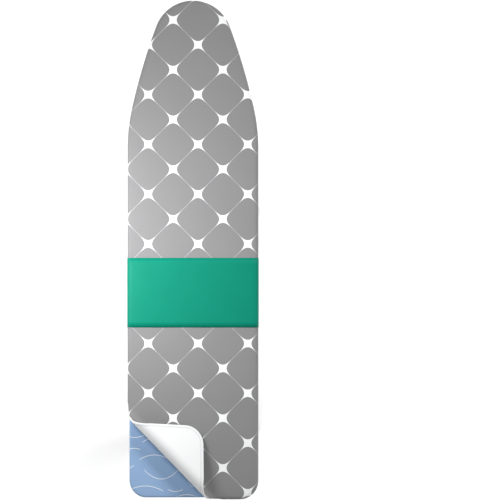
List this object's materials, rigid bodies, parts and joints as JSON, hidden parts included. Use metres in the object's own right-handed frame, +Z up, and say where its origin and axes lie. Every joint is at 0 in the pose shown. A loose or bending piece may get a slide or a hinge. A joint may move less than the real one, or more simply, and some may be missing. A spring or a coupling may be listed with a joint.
{
  "type": "folding ironing board",
  "caption": "Folding ironing board: padded mesh top in fitted covers, one corner turned back, on a scissor stand with a clamp for its height",
  "frame": {"origin": "on the floor, under the middle of the board, at the centre of the base of its bounding box", "axes": "+Z up; +Y along the board to its nose; +X to the right when the nose points away"},
  "size_m": [0.3009, 1.1435, 0.8866],
  "materials": {
    "cotton_grey": "matte printed cotton",
    "foam_white": "matte foam with a napped face",
    "elastic_grey": "gathered casing",
    "cotton_blue": "matte cotton",
    "felt": "needled felt",
    "paper_green": "satin coated paper",
    "mesh_steel": "powder coated",
    "tube_paint": "powder coated, satin",
    "zinc_sheet": "zinc plated",
    "zinc_steel": "zinc plated",
    "black_rubber": "matte",
    "foot_plastic": "matte",
    "black_plastic": "moulded",
    "handle_plastic": "moulded",
    "grip_rubber": "soft",
    "spring_steel": "bright"
  },
  "bodies": {
    "board": {"grey_cover": "cotton_grey", "cover_flap": "foam_white", "foam_lining": "foam_white", "hem_elastic": "elastic_grey", "blue_cover": "cotton_blue", "felt_pad": "felt", "paper_band": "paper_green", "mesh_top": "mesh_steel", "rim_left": "tube_paint", "rim_right": "tube_paint", "rim_back": "tube_paint", "rim_nose": "tube_paint", "strap_hook": "zinc_sheet", "strap_pivot": "zinc_sheet", "strap_rear": "zinc_sheet", "strap_front": "zinc_sheet", "pivot_bracket_left": "zinc_sheet", "pivot_bracket_right": "zinc_sheet", "pivot_bolts": "zinc_steel", "guide_rod_left": "zinc_steel", "guide_rod_right": "zinc_steel", "rod_bracket_rear": "zinc_sheet", "rod_bracket_front": "zinc_sheet", "travel_stops": "black_rubber", "bracket_rivets": "zinc_steel", "hook_bracket": "zinc_sheet", "hook_pin": "zinc_steel"},
    "outer_leg": {"outer_tube_left": "tube_paint", "outer_tube_right": "tube_paint", "outer_foot_bar": "tube_paint", "outer_brace": "tube_paint", "outer_cap_left": "foot_plastic", "outer_cap_right": "foot_plastic", "outer_plugs": "black_plastic"},
    "inner_leg": {"inner_tube_left": "tube_paint", "inner_tube_right": "tube_paint", "inner_foot_bar": "tube_paint", "inner_brace": "tube_paint", "inner_cap_left": "foot_plastic", "inner_cap_right": "foot_plastic", "inner_plugs": "black_plastic", "inner_axle": "zinc_steel", "axle_clips": "zinc_steel", "cross_bolts": "zinc_steel", "cross_spacers": "black_plastic", "cross_nuts": "zinc_steel"},
    "carriage": {"carriage_block": "black_plastic", "handle_pin": "zinc_steel", "return_spring": "spring_steel", "clamp_pin": "zinc_steel"},
    "release_handle": {"release_handle": "handle_plastic", "handle_grip": "grip_rubber"},
    "clamp_plate": {"clamp_plate": "spring_steel"},
    "storage_hook": {"storage_hook": "black_plastic"}
  },
  "joints": [
    {"name": "leg_fold", "type": "hinge", "parent": "board", "child": "outer_leg", "pos_m": [0, -0.4345, 0.798], "axis": [1, 0, 0], "range_deg": [0, 55.61]},
    {"name": "leg_cross", "type": "hinge", "parent": "outer_leg", "child": "inner_leg", "pos_m": [0, -0.18319, 0.43076], "axis": [1, 0, 0], "range_deg": [-111.22, 0]},
    {"name": "carriage_level", "type": "hinge", "parent": "inner_leg", "child": "carriage", "pos_m": [0, 0.06813, 0.798], "axis": [1, 0, 0], "range_deg": [0, 55.61]},
    {"name": "handle_squeeze", "type": "hinge", "parent": "carriage", "child": "release_handle", "pos_m": [0, 0.03813, 0.788], "axis": [-1, 0, 0], "range_deg": [0, 7.5], "stiffness_Nm_per_rad": 1.2, "springref_deg": -20.05},
    {"name": "clamp_release", "type": "hinge", "parent": "carriage", "child": "clamp_plate", "pos_m": [0, 0.03813, 0.8255], "axis": [1, 0, 0], "range_deg": [0, 6]},
    {"name": "hook_swing", "type": "hinge", "parent": "board", "child": "storage_hook", "pos_m": [0, -0.5075, 0.819], "axis": [1, 0, 0], "range_deg": [0, 50]}
  ],
  "couplings": [
    {"joint": "leg_cross", "follows": "leg_fold", "ratio": -2},
    {"joint": "carriage_level", "follows": "leg_fold", "ratio": 1},
    {"joint": "clamp_release", "follows": "handle_squeeze", "ratio": 0.8}
  ]
}
